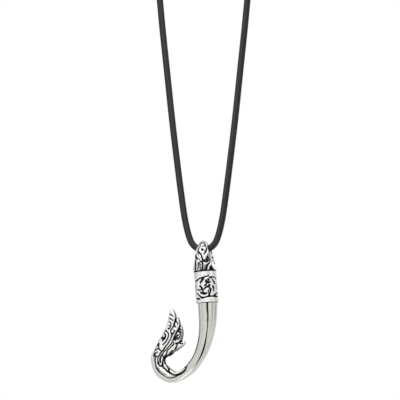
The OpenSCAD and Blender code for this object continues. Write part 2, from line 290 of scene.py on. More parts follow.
# What all the steels share. A row of four maps a range to another, as remap takes it.
metal = {
    "cloudDetail": 4.0,
    "grainDetail": 2.0,
    "wearScale": 2600.0,
    "wear": (0.3, 0.7, -0.08, 0.08),  # fine wear, added to the patina and painted light
    "darkening": (0.05, 0.5, 0.0, 1.0),  # patina and painted shade to the tarnish colour
    "black": (0.42, 0.8, 0.0, 1.0),  # patina and painted shade to black
    "bright": (-0.05, -0.4, 0.0, 1.0),  # patina below zero to painted highlight
    "clouds": (0.4, 0.7, 0.0, 0.5),  # clouds to tarnish
    "brushed": (0.45, 0.65, 0.0, 0.75),  # brushed lines to tarnish
    "brushStretch": 0.03,
    "brushDepth": 0.8,
    "grain": (0.3, 0.7, 0.85, 1.2),  # grain to shares of the look's roughness
    "blackRoughness": 0.6,
    "bumpHeight": 0.00003,  # metres
}


# Cast or polished steel: a bright metal with cloudy tarnish and fine wear, black in the recesses and
# darkened by painted shade where the point attribute says so, with painted highlight below zero, and with
# lengthwise brushed lines where the look has a brush.
def steel(name, look):
    material, nodes = newMaterial(name)
    place = nodes.new("ShaderNodeTexCoord").outputs["Object"]
    patinaAndPaintedLight = newNode(nodes, "ShaderNodeAttribute", {}, attribute_name="patinaAndPaintedLight").outputs["Fac"]
    clouds = noise(nodes, place, look["cloudScale"], metal["cloudDetail"])
    grain = noise(nodes, place, look["grainScale"], metal["grainDetail"])
    wear = noise(nodes, place, metal["wearScale"])
    ragged = mathNode(nodes, "ADD", patinaAndPaintedLight, remap(nodes, wear, metal["wear"]))
    # Share of the tarnish colour: patina and painted shade, clouds and brushed lines
    darkening = remap(nodes, ragged, metal["darkening"])
    darkening = mathNode(nodes, "MAXIMUM", darkening, remap(nodes, clouds, metal["clouds"]))
    black = remap(nodes, ragged, metal["black"])
    if "brush" in look:
        along = newNode(nodes, "ShaderNodeUVMap", {}, uv_map="along").outputs["UV"]
        lines = noise(nodes, along, look["brush"], stretch=metal["brushStretch"])
        darkening = mathNode(nodes, "MAXIMUM", darkening, remap(nodes, lines, metal["brushed"]))
        grain = mathNode(nodes, "ADD", grain, mathNode(nodes, "MULTIPLY", lines, metal["brushDepth"]))
    colour = mixColour(nodes, darkening, look["colour"], look["tarnishAndShade"])
    colour = mixColour(nodes, black, colour, look["black"])
    # Painted highlight where the attribute goes below zero
    colour = mixColour(nodes, remap(nodes, patinaAndPaintedLight, metal["bright"]), colour, look["highlightColour"])
    low, high, least, most = metal["grain"]
    rough = remap(nodes, grain, (low, high, look["roughness"] * least, look["roughness"] * most))
    rough = mathNode(nodes, "MAXIMUM", rough, mathNode(nodes, "MULTIPLY", black, metal["blackRoughness"]))
    feed(nodes["Principled BSDF"], {
        "Metallic": 1.0,
        "Base Color": colour,
        "Roughness": rough,
        "Normal": bumpNode(nodes, grain, look["bump"], metal["bumpHeight"]),
    })
    return material


# Waxed leather: near black, with a fine pebbled grain and lengthwise creases that follow the cord,
# and a painted sheen: a paler stripe along the front and the back.
def leather(name, look):
    material, nodes = newMaterial(name)
    along = newNode(nodes, "ShaderNodeUVMap", {}, uv_map="along").outputs["UV"]
    place = nodes.new("ShaderNodeTexCoord").outputs["Object"]
    creases = noise(nodes, along, look["creaseScale"], stretch=look["creaseStretch"])
    pebble = newNode(nodes, "ShaderNodeTexVoronoi", {"Vector": place, "Scale": look["grainScale"]})
    pebble = mathNode(nodes, "MULTIPLY", pebble.outputs["Distance"], look["grainHeight"])
    dye = remap(nodes, noise(nodes, place, look["dyeScale"]), look["dye"])
    colour = mixColour(nodes, dye, look["colour"], look["faded"])
    # The painted sheen: a paler stripe along the cord's map, fading away from its middle
    around = newNode(nodes, "ShaderNodeSeparateXYZ", {"Vector": along}).outputs["X"]
    away = mathNode(nodes, "ABSOLUTE", mathNode(nodes, "SUBTRACT", around, look["paintedSheenAt"]))
    colour = mixColour(nodes, remap(nodes, away, look["paintedSheenFade"]), colour, look["paintedSheen"])
    colour = mixColour(nodes, remap(nodes, creases, look["creased"]), colour, look["crease"])
    height = mathNode(nodes, "ADD", creases, pebble)
    feed(nodes["Principled BSDF"], {
        "Specular IOR Level": look["shine"],
        "Base Color": colour,
        "Roughness": remap(nodes, creases, look["roughness"]),
        "Normal": bumpNode(nodes, height, look["bump"], look["bumpHeight"]),
    })
    return material


def finishPiece(piece, material, body, node):
    piece.data.materials.append(material)
    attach(piece, body)
    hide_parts(node)
    print("made", piece.name, len(piece.data.polygons), "faces")


studio = {
    "pixelsPerMm": 2.05,  # scale of the photograph
    "hingeAt": (203.6, 249.9),  # where the photograph shows the hinge, in its 400 x 400 frame
    "frameSize": 400.0,
    "distance": 1100.0,
    "sensor": 36.0,
    "clipEnd": 20.0,  # metres
    "floorDrop": 42.0,  # from the lowest point down to the floor
    "floorRadius": 900.0,
    "floorRings": (0.02, 0.3, 0.7, 1.0),  # shares of the radius
    "floorThick": 4.0,
    "floorAround": 96,
    "floorTones": (0.86, 0.9),
    "floorSpeckle": 60.0,
    "floorRoughness": 0.8,
    "above": (0.1, 0.9, 0.62, 0.92),  # height of a direction to the light from there
    "below": (-0.1, -0.8, 0.0, -0.25),  # the same, added to it
    "screens": [(-2, 12, 0.55), (175, 12, 0.3)],  # turn from the front, rise, strength added
    "screenEdge": (42, 24),  # degrees from a screen's middle where it begins and is full
    "back": 1.0,  # the background that the camera sees
    "lightsAim": (0.0, 0.0, -0.25),
    # Softboxes: place, width and height in metres, watts
    "lights": {
        "top softbox": ((0.15, -0.3, 0.45), (0.7, 0.7), 2.0),
        "left softbox": ((-0.8, -0.5, -0.05), (0.5, 0.8), 0.6),
        "right softbox": ((0.9, -0.2, -0.1), (0.4, 0.8), 0.6),
    },
}


# A unit vector from degrees of turn to the right of the front, and of rise.
def towards(turn, rise):
    turn, rise = math.radians(turn), math.radians(rise)
    return np.array([math.sin(turn) * math.cos(rise), -math.cos(turn) * math.cos(rise), math.sin(rise)])


# The camera looks at the point that the middle of the photograph shows.
def addCamera():
    toCamera = towards(pendant["viewTurn"], pendant["viewRise"])
    turn, rise = math.radians(pendant["viewTurn"]), math.radians(pendant["viewRise"])
    right = np.array([math.cos(turn), math.sin(turn), 0.0])
    up = np.cross(right, -toCamera)
    half, scale = studio["frameSize"] / 2, studio["pixelsPerMm"]
    hingeX, hingeY = studio["hingeAt"]
    middle = hinge + right * (half - hingeX) / scale + up * (hingeY - half) / scale
    data = bpy.data.cameras.new("camera")
    data.sensor_width = studio["sensor"]
    data.lens = data.sensor_width * studio["distance"] / (studio["frameSize"] / scale)
    data.clip_end = studio["clipEnd"]
    camera = bpy.data.objects.new("camera", data)
    camera.location = (middle + toCamera * studio["distance"]) * mm
    camera.rotation_euler = (math.pi / 2 - rise, 0.0, turn)
    bpy.context.scene.collection.objects.link(camera)
    bpy.context.scene.camera = camera


# A round pale floor, above and below: a share of the radius times the angle's cosine and its sine.
def addFloor():
    low = float(cadBox[0][2]) - studio["floorDrop"] * mm
    a = angles(studio["floorAround"])
    r = np.array(studio["floorRings"])[:, None] * studio["floorRadius"] * mm
    top = np.stack([r * np.cos(a), r * np.sin(a), low + 0 * r * a], -1)
    under = top[::-1] - [0, 0, studio["floorThick"] * mm]
    grid = np.concatenate([top, under])
    floor = meshPiece("floor", [shell(grid)])
    material, nodes = newMaterial("pale floor")
    place = nodes.new("ShaderNodeTexCoord").outputs["Object"]
    speckle = noise(nodes, place, studio["floorSpeckle"])
    paint = mixColour(nodes, speckle, *(grey(tone) for tone in studio["floorTones"]))
    feed(nodes["Principled BSDF"], {"Base Color": paint, "Roughness": studio["floorRoughness"]})
    floor.data.materials.append(material)


def addLight(name, place, size, power):
    data = bpy.data.lights.new(name, "AREA")
    data.shape = "RECTANGLE"
    data.size, data.size_y = size
    data.energy = power
    light = bpy.data.objects.new(name, data)
    bpy.context.scene.collection.objects.link(light)
    away = np.array(place) - np.array(studio["lightsAim"])
    flat = math.hypot(away[0], away[1])
    light.location = place
    light.rotation_euler = (math.atan2(flat, away[2]), 0.0, math.atan2(away[0], -away[1]))


# The light of a pale room by direction, with a broad soft screen at each of two turns. The camera
# itself sees a plain white background.
def addWorld():
    world = bpy.data.worlds.new("studio")
    world.use_nodes = True
    nodes = world.node_tree.nodes
    place = nodes.new("ShaderNodeTexCoord").outputs["Generated"]
    height = newNode(nodes, "ShaderNodeSeparateXYZ", {"Vector": place}).outputs["Z"]
    total = remap(nodes, height, studio["above"])
    total = mathNode(nodes, "ADD", total, remap(nodes, height, studio["below"]))
    edge = [math.cos(math.radians(away)) for away in studio["screenEdge"]]
    for turn, rise, power in studio["screens"]:
        directions = {0: place, 1: towards(turn, rise).tolist()}
        near = newNode(nodes, "ShaderNodeVectorMath", directions, operation="DOT_PRODUCT")
        screen = remap(nodes, near.outputs["Value"], (*edge, 0.0, power))
        total = mathNode(nodes, "ADD", total, screen)
    lit = feed(nodes["Background"], {"Color": grey(1.0), "Strength": total})
    seen = newNode(nodes, "ShaderNodeBackground", {"Color": grey(1.0), "Strength": studio["back"]})
    fromCamera = nodes.new("ShaderNodeLightPath").outputs["Is Camera Ray"]
    parts = {"Fac": fromCamera, 1: lit.outputs["Background"], 2: seen.outputs["Background"]}
    mix = newNode(nodes, "ShaderNodeMixShader", parts)
    feed(nodes["World Output"], {"Surface": mix.outputs["Shader"]})
    bpy.context.scene.world = world
    bpy.context.scene.view_settings.view_transform = "Standard"


addCamera()
print("camera set")

cord = {
    "diameter": 3.0,
    "swell": 1.07,  # soft leather stands a little proud of its nominal size
    "around": 24,
    "ringEvery": 0.8,  # millimetres along the cord
    "mapTurn": 2.0,  # length of the map from one side of the cord to the other
    # Half of the route from the lowest point upwards: x, height above that point
    "route": [
        [0, 0], [2.3, 0.4], [4.3, 1.6], [5.9, 3.4], [7, 5.7], [8.2, 9.6], [9.6, 16], [10.9, 24.4],
        [13, 40], [15.9, 63.4], [18.6, 88], [21.2, 112], [23.6, 138], [25.8, 165], [27.4, 192],
        [26, 208], [22, 221], [15.5, 229.5],
    ],
    "fine": 2400,  # places on the smooth line before it is resampled
    # A row of four maps a range to another, as remap takes it
    "look": {
        "colour": grey(0.003),
        "faded": grey(0.01),
        "dye": (0.3, 0.7, 0.0, 1.0),
        "dyeScale": 160.0,
        "paintedSheen": grey(0.027),  # painted sheen, a paler stripe along the front and the back
        "paintedSheenAt": 1.12,  # middle of the painted sheen, on the map, from the outer side of the loop to the inner one
        "paintedSheenFade": (0.5, 0.05, 0.0, 1.0),
        "crease": grey(0.003),
        "creased": (0.35, 0.5, 0.5, 0.0),
        "creaseScale": 7.0,
        "creaseStretch": 0.12,
        "roughness": (0.3, 0.7, 0.48, 0.33),
        "shine": 0.34,
        "grainScale": 2400.0,
        "grainHeight": 0.6,
        "bump": 0.35,
        "bumpHeight": 0.00006,  # metres
    },
}
clasp = {
    "length": 16.0,
    "diameter": 5.0,
    "socket": 5.0,  # depth of the blind hole at each end
    "socketGap": 0.05,
    "edge": 0.45,  # radius of the outer rims
    "lip": 0.15,  # radius of the sockets' rims
    "pole": 0.02,  # share of a socket's radius that a fan of triangles closes
    "rimPoints": 9,
    "around": 64,
    "look": {"colour": (0.62, 0.62, 0.61, 1.0), "tarnishAndShade": (0.45, 0.45, 0.44, 1.0), "roughness": 0.3},
}


# The cord's middle line in the model's frame, in metres: its half route, mirrored for the other
# side, with a last point inside each end of the clasp, resampled at even lengths.
def cordLine():
    route = np.array(cord["route"], float)
    claspHeight = clasp["diameter"] / 2 - hinge[2]
    inside = clasp["length"] / 2 - clasp["socket"] + clasp["socketGap"]
    ends = [[clasp["length"] / 2, claspHeight], [inside, claspHeight]]
    half = np.vstack([route, ends])
    whole = np.vstack([half[:0:-1] * [-1, 1], half])
    smooth = through(whole, cord["fine"])
    length = np.append(0, np.cumsum(np.hypot(*np.diff(smooth, axis=0).T)))
    even = np.linspace(0, length[-1], int(length[-1] / cord["ringEvery"]) + 1)
    x, z = (np.interp(even, length, smooth[:, k]) for k in (0, 1))
    return np.stack([x, 0 * x, z + hinge[2]], -1) * mm, length[-1] * mm


# A round tube: each point is the line's place plus the radius times the cosine of its angle along
# the line's side direction and its sine along Y.
def makeCord():
    line, length = cordLine()
    ahead = np.gradient(line, axis=0)
    ahead /= np.linalg.norm(ahead, axis=1)[:, None]
    side = np.stack([-ahead[:, 2], 0 * ahead[:, 1], ahead[:, 0]], -1)
    a = angles(cord["around"])
    radius = cord["diameter"] / 2 * cord["swell"] * mm
    grid = line[:, None] + radius * (
        side[:, None] * np.cos(a)[None, :, None] + np.array([0, 1, 0]) * np.sin(a)[None, :, None]
    )
    piece = meshPiece("leather_cord", [shell(grid)])
    mapAlong(piece.data, cord["around"], cord["mapTurn"], cord["ringEvery"] / cord["diameter"])
    finishPiece(piece, leather("black leather", cord["look"]), "necklace", "cord")
    return piece, line, length


# A barrel turned about X, with rounded rims and a blind socket for each end of the cord: a row's
# place along X, and its radius times the angle's cosine along Y and its sine along Z.
def makeClasp():
    half, r, e, lip = clasp["length"] / 2, clasp["diameter"] / 2, clasp["edge"], clasp["lip"]
    bore = cord["diameter"] / 2 * cord["swell"] + clasp["socketGap"]
    bottom = half - clasp["socket"]
    bend = np.linspace(0, np.pi / 2, clasp["rimPoints"])
    rim = np.stack([half - e + e * np.cos(bend), r - e + e * np.sin(bend)], -1)
    inner = np.stack([half - lip * np.cos(bend)[::-1], bore + lip * np.sin(bend)[::-1]], -1)
    side = np.vstack([[[bottom, bore * clasp["pole"]], [bottom, bore]], inner[::-1], rim])
    rows = np.vstack([side, side[::-1] * [-1, 1]])
    a = angles(clasp["around"])
    x, radius = rows[:, 0][:, None], rows[:, 1][:, None]
    grid = np.stack([x + 0 * a, radius * np.cos(a), radius * np.sin(a) + r], -1) * mm
    return meshPiece("barrel_clasp", [shell(grid)])


cordPiece, cordPath, cordLength = makeCord()
claspPiece = makeClasp()

carving = {
    "depth": 0.42,
    "wall": 0.16,  # width of a groove's sloping wall
    "shoulder": 0.5,  # how far the edge beside a groove is rounded down, as a share of the depth
    "roundness": 0.26,
    "bleed": 0.07,  # how far the blackening reaches past a groove's edge
    "fade": 0.19,
    "smudge": 0.4,  # tarnish beside a groove, fading over the next width
    "smudgeWidth": 0.2,
}

bail = {
    "broad": 1.6,  # every stroke's width is multiplied by this
    "mouthBevel": (2.0, 1.1),  # along the tunnel, out from it
    "carving": {"smudge": 0.5, "smudgeWidth": 0.3},
    "topShade": (1.8, 1.5, 0.5),  # painted shade over the top: its lowest height, its fade, its strength
    # faint painted shade over the tunnel's wall and the bevels of its mouths
    "mouthShade": 0.16,
    # Painted shade: dark spots in the bevel of the tunnel's mouth, where its hollows fall in shade:
    # across, height, half their width and height
    "shadeSpots": [(3.1, -1.2, 0.5, 0.5), (3.6, -3.8, 0.65, 0.5), (4.3, -6.8, 0.5, 0.5)],
    "shadeSpotFade": 1.5,  # steepness of their edge
    "floorShade": (0.3, 1.2),  # painted shade on the tunnel's floor, under the cord: share that a ray points down where it begins, its steepness
    "height": 15.3,
    "radius": 5.45,
    "relief": 0.35,
    "tunnelRadius": 3.0,
    "tunnelMiddle": -0.35,  # height of the middle of the tunnel's round roof
    "tenon": 3.0,
    "tenonInside": 0.8,
    "fineRows": 120,  # places on the smooth outline, and on the tunnel's
    "fineTunnel": 80,
    "rings": 530,
    "arc": 146,  # points over the outer surface
    "wall": 10,  # points along the tunnel's wall
    "bevel": 12,  # points along the bevel of one mouth
    "bevelMost": (0.42, 0.5),  # the bevel's largest share of the half length and of the thickness
    "middle": -3.3,  # height that the rings turn about
    "upReach": 7.6,  # the rings spread evenly on an oval of this half height and the radius
    "searches": (12, 3, 14),  # lengths in which the wall, the bevel and the outer surface are found
    "leastRadius": 0.5,
    "plainFoot": 0.12,  # height of the foot that is never cut
    # Share of the height above the foot, share of the widest radius
    "rows": [
        [0, 0.96], [0.05, 1], [0.21, 0.995], [0.34, 0.967], [0.47, 0.917], [0.587, 0.848], [0.698, 0.745],
        [0.776, 0.62], [0.861, 0.46], [0.92, 0.37], [0.972, 0.34], [1, 0.33],
    ],
    "tip": (0.78, 0.975),  # shares of the height where the round tip begins and ends
    # The tunnel below its roof: share of the way down to the collar, share of the roof's radius
    "tunnel": [
        [0, 1], [0.12, 1.06], [0.44, 1.06], [0.64, 0.96], [0.76, 0.74], [0.83, 0.5], [0.865, 0.28],
        [0.875, 0.08],
    ],
    # Carved strokes: degrees round from the photographed side, height, width
    "strokes": [
        [[8, 3.6, 0.25], [15, 2.9, 0.45], [21, 2.0, 0.45]],
        [[-11, 1.6, 0.3], [6, 1.7, 0.35], [20, 2.0, 0.4]],
        [[17, 1.3, 0.35], [22, 0.6, 0.5], [18, -0.5, 0.55], [13, -1.3, 0.5], [5, -2.1, 0.45],
         [-2, -2.6, 0.25]],
        [[4, -0.7, 0.3], [10, -1.1, 0.4]],
        [[-10, -0.1, 0.8], [-8, -0.2, 0.8]],
        [[-41, 0.2, 0.3], [-38, -0.8, 0.6], [-27, -1.7, 0.6], [-18, -2.5, 0.5], [-14, -3.6, 0.5],
         [-11, -4.5, 0.55], [-9, -5.2, 0.5], [-9, -5.9, 0.4]],
        [[-58, -1.4, 0.35], [-57, -2.4, 0.65], [-52, -3.4, 0.8], [-44, -4.1, 0.55], [-36, -4.4, 0.4]],
        [[-42, -4.2, 0.4], [-49, -4.8, 0.45], [-54, -5.6, 0.5]],
        [[-22, -6.1, 0.45], [-14, -5.9, 0.5], [-9, -6, 0.4]],
        [[24, -2.4, 0.2], [21, -3.5, 0.5], [16, -4.3, 0.75], [11, -5.1, 0.7]],
        [[15, -5.5, 0.5], [21, -5.2, 0.35]],
        [[-34, 2.6, 0.2], [-28, 1.9, 0.2], [-22, 1.4, 0.15]],
        [[-35, 1.4, 0.3], [-38, 0.4, 0.35]],
        [[-40, -1.6, 0.3], [-33, -2.8, 0.25]],
        [[-30, -4.6, 0.3], [-25, -5.4, 0.25]],
        [[-38, -6.8, 0.25], [-37, -8.1, 0.3], [-40, -9.7, 0.4]],
        [[-21, -7.2, 0.2], [-21, -8.6, 0.25], [-25, -9.9, 0.35]],
        [[2, -7.6, 0.2], [-1, -8.8, 0.25], [-4, -10, 0.35]],
        [[0, -5.7, 0.9], [8, -6.4, 0.5], [16, -6, 0.7], [22, -5.8, 0.4]],
        [[22, -3.8, 0.3], [25, -4.6, 0.45], [28, -5.4, 0.5], [30, -6.2, 0.3]],
        [[-54, -5.6, 0.6], [-54, -6.9, 0.8], [-55, -8.2, 0.85], [-57, -9.4, 0.85], [-57, -10.3, 0.85]],
        [[-30, -6.7, 0.7], [-30, -7.7, 0.4], [-31, -9.2, 0.25]],
        [[-10, -6.6, 0.6], [-11, -7.5, 0.5], [-11, -8.7, 0.55], [-16, -10.1, 0.7]],
        [[29, -6.6, 0.4], [19, -7.4, 0.6], [11, -8.2, 0.75], [7, -9.4, 0.75], [3, -10.3, 0.7]],
        [[35, -8.2, 0.4], [32, -9.2, 1.1], [26, -10.2, 0.6]],
        [[38, -9, 0.5], [42, -9.7, 0.8], [50, -10.5, 0.6]],
        [[-90, -10.4, 0.3], [-60, -10.4, 0.36], [-30, -10.4, 0.36], [0, -10.4, 0.36], [30, -10.35, 0.42],
         [60, -10.4, 0.36], [90, -10.4, 0.3]],
    ],
    "look": {
        "colour": (0.88, 0.875, 0.86, 1.0),
        # the colour of painted highlight
        "highlightColour": (0.96, 0.955, 0.945, 1.0),
        "tarnishAndShade": (0.5, 0.495, 0.48, 1.0),
        "black": (0.012, 0.012, 0.012, 1.0),
        "roughness": 0.26,
        "cloudScale": 260.0,
        "grainScale": 1500.0,
        "bump": 0.12,
    },
}


# Radius of the bail's outer surface at a height, full relief counted in; under zero past its ends.
def bailRadius(z):
    rows = through(bail["rows"], bail["fineRows"])
    foot = pendant["collarTop"] + pendant["seatGap"]
    share = (z - foot) / (bail["height"] + bail["relief"] - pendant["seatGap"])
    radius = np.interp(share, rows[:, 0], rows[:, 1] * bail["radius"] + bail["relief"])
    low, top = bail["tip"]
    tip = np.sqrt(1 - np.clip((share - low) / (top - low), 0, 1) ** 2)
    return np.where((share < 0) | (share > top), -1.0, radius * tip)


# Half width of the cord's tunnel at a height above the hinge; under zero past its roof and floor.
def tunnelHalf(z):
    r, middle = bail["tunnelRadius"], bail["tunnelMiddle"]
    rows = through(bail["tunnel"], bail["fineTunnel"])
    down = -pendant["collarTop"] + middle
    side = np.interp((middle - z) / down, rows[:, 0], rows[:, 1]) * r
    roof = np.sqrt(np.clip(r * r - (z - middle) ** 2, 0, None))
    half = np.where(z > middle, roof, side)
    return np.where((z > middle + r) | ((middle - z) / down > rows[-1, 0]), -1.0, half)


# Degrees round the pendant from the photographed side, the same on the front and the rear face.
def turnFrom(x, y):
    return np.degrees(np.arctan2(x, np.abs(y))) - pendant["viewTurn"]


# Strokes of [degrees, height, width] with the degrees made a length on a surface of a given radius.
def unrolled(strokes, radiusAt):
    return [
        [[math.radians(a) * float(radiusAt(np.array(float(z)))), z, width] for a, z, width in stroke]
        for stroke in strokes
    ]


# The bail is a ring of sections about its tunnel. Each half plane through the tunnel's middle line
# cuts it in a flat loop: the tunnel's wall, a bevel at each mouth, and the outer surface found along
# rays from the wall. A ray's direction is the cosine and sine of its angle times the loop's two reaches.
def makeBail():
    lean = math.radians(pendant["lean"])
    turn = angles(bail["rings"])[:, None]
    sy, sz = bail["radius"] * np.sin(turn), bail["upReach"] * np.cos(turn)
    sy, sz = sy / np.hypot(sy, sz), sz / np.hypot(sy, sz)
    wallSearch, bevelSearch, outerSearch = bail["searches"]

    def place(x, out):
        y, up = out * sy, bail["middle"] + out * sz
        return x * math.cos(lean) + up * math.sin(lean), y, up * math.cos(lean) - x * math.sin(lean)

    def inBody(x, out):
        px, py, pz = place(x, out)
        return np.hypot(px, py) < bailRadius(pz)

    def inTunnel(out):
        return np.abs(out * sy) < tunnelHalf(bail["middle"] + out * sz)

    inner = edgeAlong(inTunnel, turn.shape, wallSearch)
    axis = -(bail["middle"] + inner * sz) * math.tan(lean)
    thick = edgeAlong(lambda t: inBody(axis, inner + t), turn.shape, wallSearch)
    ends, creases = [], []
    for side in (1, -1):
        wide = edgeAlong(lambda t: inBody(axis + side * t, inner), turn.shape, wallSearch)
        along = np.minimum(bail["mouthBevel"][0], wide * bail["bevelMost"][0])
        out = np.minimum(bail["mouthBevel"][1], thick * bail["bevelMost"][1])

        def underBevel(t):
            return inBody(axis + side * (wide - along + t * along), inner + t * out)

        t = edgeAlong(underBevel, turn.shape, bevelSearch)
        ends.append(side * (wide - along))
        creases.append((side * (wide - along + t * along), t * out, wide))
    (rightX, rightOut, rightWide), (leftX, leftOut, leftWide) = creases
    first = np.arctan2(rightOut / thick, rightX / rightWide)
    last = np.arctan2(leftOut / thick, leftX / leftWide)
    s = first + (last - first) * np.linspace(0, 1, bail["arc"])[None, :]
    rx = np.where(np.cos(s) > 0, rightWide, leftWide) * np.cos(s)
    rz = thick * np.sin(s)
    size = np.maximum(np.hypot(rx, rz), 1e-9)
    rx, rz = rx / size, rz / size
    reach = edgeAlong(lambda t: inBody(axis + t * rx, inner + t * rz), rx.shape, outerSearch)
    x, y, z = place(axis + reach * rx, inner + reach * rz)

    strokes = unrolled(bail["strokes"], bailRadius)
    style = dict(carving, **bail["carving"])

    def carvedAt(x, y, z):
        radius = np.maximum(bailRadius(z), bail["leastRadius"])
        edge = strokeEdge(np.radians(turnFrom(x, y)) * radius, z, strokes, bail["broad"])
        return *carved(edge, style), radius

    cut, black, radius = carvedAt(x, y, z)
    # Painted shade, darker towards the top
    low, fade, strength = bail["topShade"]
    black = np.maximum(black, ease((z - low) / fade) * strength)
    cut = np.where(z < pendant["collarTop"] + bail["plainFoot"], 0, cut)
    shrink = 1 - cut * carving["depth"] / radius
    outer = hang(x * shrink, y * shrink, z)

    # Down the left bevel, along the wall and up the right bevel, back to where the outer surface began
    share = np.linspace(0, 1, bail["bevel"] + 2)[None, 1:-1]
    down = [leftX + (ends[1] - leftX) * share, leftOut * (1 - share)]
    wall = ends[1] + (ends[0] - ends[1]) * np.linspace(0, 1, bail["wall"])[None, :]
    up = [ends[0] + (rightX - ends[0]) * share, rightOut * share]
    wx, wy, wz = place(
        axis + np.concatenate([down[0], wall, up[0]], 1),
        inner + np.concatenate([down[1], 0 * wall, up[1]], 1),
    )
    # The strokes run on over the left bevels as tarnish alone
    wallBlack = carvedAt(wx, wy, wz)[1]
    wallBlack[:, bail["bevel"]:] = 0
    # Painted shade: faint over the wall and bevels, in dark spots on the bevels, and on the tunnel's floor
    wallBlack = np.maximum(wallBlack, bail["mouthShade"])
    for across, height, halfWide, halfHigh in bail["shadeSpots"]:
        away = np.hypot((np.abs(wx) - across) / halfWide, (wz - height) / halfHigh)
        wallBlack = np.maximum(wallBlack, ease(2 - bail["shadeSpotFade"] * away))
    inside = slice(bail["bevel"], bail["bevel"] + bail["wall"])
    down, steepness = bail["floorShade"]
    wallBlack[:, inside] = np.maximum(wallBlack[:, inside], ease((-down - sz) * steepness))
    grid = np.concatenate([outer, hang(wx, wy, wz)], 1)
    ring = shell(grid, np.concatenate([black, wallBlack], 1), joinEnds=True)
    top = pendant["collarTop"]
    piece = meshPiece("carved_bail", [ring, tenon(top - bail["tenon"], top + bail["tenonInside"])])
    finishPiece(piece, steel("cast bail steel", bail["look"]), "pendant", "bail")


collar = {
    "broad": 1.6,
    "radius": 5.5,
    "around": 520,
    "step": 0.1,  # millimetres between rings
    "chamfer": 0.3,
    "rimPoints": 6,
    "bore": 3.0,
    "boreTop": 3.3,
    "boreFoot": 8.3,
    "lineWall": 0.12,  # width of the engraved line's sloping wall
    "lineDepth": 0.12,
    "lineBlack": 0.5,
    "topSeam": 0.1,  # height of the black seam under the bail
    "footSeam": (0.16, 0.14, 0.75),  # the seam over the shank: its top, its fade, its strength
    # Carved strokes of the scroll field: degrees round from the photographed side, height, width
    "strokes": [
        [[-90, -14.6, 0.45], [-72, -15.1, 0.5], [-56, -14.9, 0.55], [-45, -14.5, 0.5], [-31, -14, 0.45],
         [-19, -13.9, 0.55], [-7, -13.6, 0.5], [6, -13.4, 0.45], [12, -13.2, 0.45], [16, -12.7, 0.4]],
        [[20, -13.7, 0.5], [31, -14, 0.7], [43, -13.7, 0.4], [60, -14.1, 0.5], [73, -15.1, 0.5],
         [90, -14.6, 0.4]],
        [[-15, -14.3, 0.9], [-23, -15.3, 0.75], [-31, -16.2, 0.65]],
        [[-34, -17.9, 0.8], [-28, -18.5, 0.7], [-24, -19.4, 0.8], [-20, -20.2, 0.5], [-19, -20.8, 0.5]],
        [[-54, -19.3, 0.5], [-38, -19.8, 0.4], [-28, -19.4, 0.4]],
        [[-34, -21, 0.6], [-24, -21.3, 0.8], [-14, -21.6, 0.9], [-1, -21.5, 0.5], [2, -21.2, 0.3]],
        [[-20, -19.6, 0.5], [-11, -19.4, 0.45], [-4, -18.7, 0.6], [4, -18.4, 0.75], [13, -18.5, 0.6],
         [18, -19.1, 0.6], [22, -19.8, 0.85], [22, -20.6, 0.6], [18, -21.4, 0.5], [14, -22, 0.6],
         [11, -23, 0.9]],
        [[10, -20.1, 0.45], [11, -20.9, 0.4], [11, -21.8, 0.35], [14, -22.5, 0.45]],
        [[14, -14.4, 0.3], [14, -15, 0.9]],
        [[2, -15.2, 0.6], [1, -15.8, 0.8], [7, -16.3, 0.8], [15, -16.3, 0.75], [24, -16.2, 0.5]],
        [[-7, -17.7, 0.6], [-2, -17.3, 0.6], [2, -17.1, 0.5]],
        [[17, -17.7, 0.85], [17, -17.8, 0.85]],
        [[38, -14.9, 0.5], [44, -15.8, 0.6], [50, -16.5, 0.8], [57, -17, 0.5]],
        [[38, -18.3, 0.75], [41, -18.9, 0.8], [42, -19.6, 0.6], [42, -20.6, 0.45]],
        [[66, -18.7, 0.5], [65, -19.5, 0.5]],
        [[67, -21.6, 0.5], [52, -22.2, 0.6], [42, -23, 0.9]],
        [[42, -23, 0.8], [56, -23.2, 0.7], [68, -23.4, 0.5], [80, -23.3, 0.4]],
        [[-64, -20.9, 0.35], [-52, -21.7, 0.45], [-44, -22.4, 0.5], [-35, -23.1, 0.6], [-27, -23.5, 0.65],
         [-16, -23.5, 0.5], [-4, -23.3, 0.5], [8, -23.1, 0.6], [17, -23.1, 0.5], [30, -23.1, 0.5],
         [42, -23, 0.6]],
        [[-90, -23.4, 0.4], [-74, -23.6, 0.5], [-54, -23.8, 0.6], [-42, -24, 0.5]],
        [[-88, -16.5, 0.5], [-78, -17.6, 0.8], [-72, -18.9, 0.6], [-76, -20.2, 0.4]],
        [[82, -16.4, 0.4], [80, -17.6, 0.7], [86, -18.8, 0.5]],
        [[84, -20.4, 0.6], [78, -21.5, 0.6], [82, -22.4, 0.4]],
    ],
    # Faint engraved line on the lower band
    "bandLines": [
        [[-40, -25, 0.16], [-19, -25, 0.2], [0, -24.9, 0.24], [16, -24.6, 0.3], [27, -24.6, 0.36],
         [33, -25, 0.3]],
    ],
    "look": dict(bail["look"], roughness=0.28),
}


